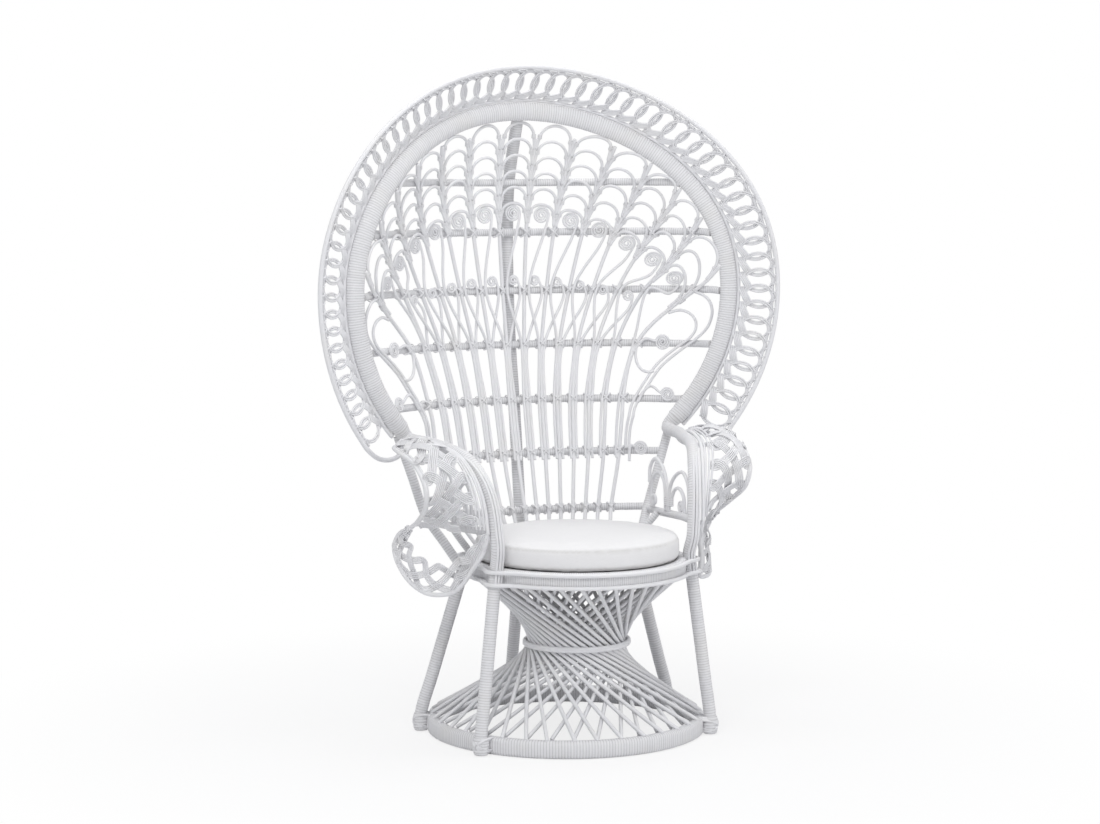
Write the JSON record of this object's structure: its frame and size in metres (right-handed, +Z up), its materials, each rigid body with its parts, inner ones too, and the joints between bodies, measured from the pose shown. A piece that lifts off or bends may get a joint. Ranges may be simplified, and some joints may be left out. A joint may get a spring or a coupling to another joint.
{
  "type": "peacock chair",
  "caption": "White woven rattan peacock chair: fan back in a wrapped hoop with a lace border, curled lace arms, round seat with a loose cushion, hourglass cane base.",
  "frame": {"origin": "on the floor under the middle of the chair's overall box", "axes": "+Z up, the sitter faces -Y, +X is to the viewer's right from the front"},
  "size_m": [1.114, 0.6658, 1.478],
  "materials": {
    "white_cane": "white paint on cane, satin",
    "cushion_cloth": "plain off-white woven cloth, matt"
  },
  "bodies": {
    "frame": {"base_ring": "white_cane", "base_lattice_outer_1": "white_cane", "base_lattice_outer_2": "white_cane", "base_lattice_outer_3": "white_cane", "base_lattice_outer_4": "white_cane", "base_lattice_inner": "white_cane", "waist_binding": "white_cane", "front_leg_left": "white_cane", "rear_leg_left": "white_cane", "front_leg_right": "white_cane", "rear_leg_right": "white_cane", "rear_post": "white_cane", "seat_apron": "white_cane", "seat_trim_upper": "white_cane", "seat_trim_lower": "white_cane", "seat_deck": "white_cane", "back_hoop": "white_cane", "hoop_trim": "white_cane", "back_rim": "white_cane", "lace_front": "white_cane", "lace_rear": "white_cane", "spoke_01": "white_cane", "spoke_02": "white_cane", "spoke_03": "white_cane", "spoke_04": "white_cane", "spoke_05": "white_cane", "spoke_06": "white_cane", "spoke_07": "white_cane", "spoke_08": "white_cane", "spoke_09": "white_cane", "spoke_10": "white_cane", "spoke_11": "white_cane", "spoke_12": "white_cane", "spoke_13": "white_cane", "spoke_14": "white_cane", "rail_1": "white_cane", "rail_2": "white_cane", "rail_3": "white_cane", "rail_4": "white_cane", "rail_5": "white_cane", "rail_6": "white_cane", "rail_7": "white_cane", "scallop_01": "white_cane", "scallop_02": "white_cane", "scallop_03": "white_cane", "scallop_04": "white_cane", "scallop_05": "white_cane", "scallop_06": "white_cane", "scallop_07": "white_cane", "scallop_08": "white_cane", "scallop_09": "white_cane", "scallop_10": "white_cane", "scallop_11": "white_cane", "scallop_12": "white_cane", "scallop_13": "white_cane", "arm_side_left": "white_cane", "arm_lace_left": "white_cane", "arm_side_right": "white_cane", "arm_lace_right": "white_cane"},
    "cushion": {"cushion": "cushion_cloth"}
  },
  "joints": [
    {"name": "cushion_lift", "type": "slide", "parent": "frame", "child": "cushion", "axis": [0, 0, 1], "range_m": [0, 0.25]}
  ]
}
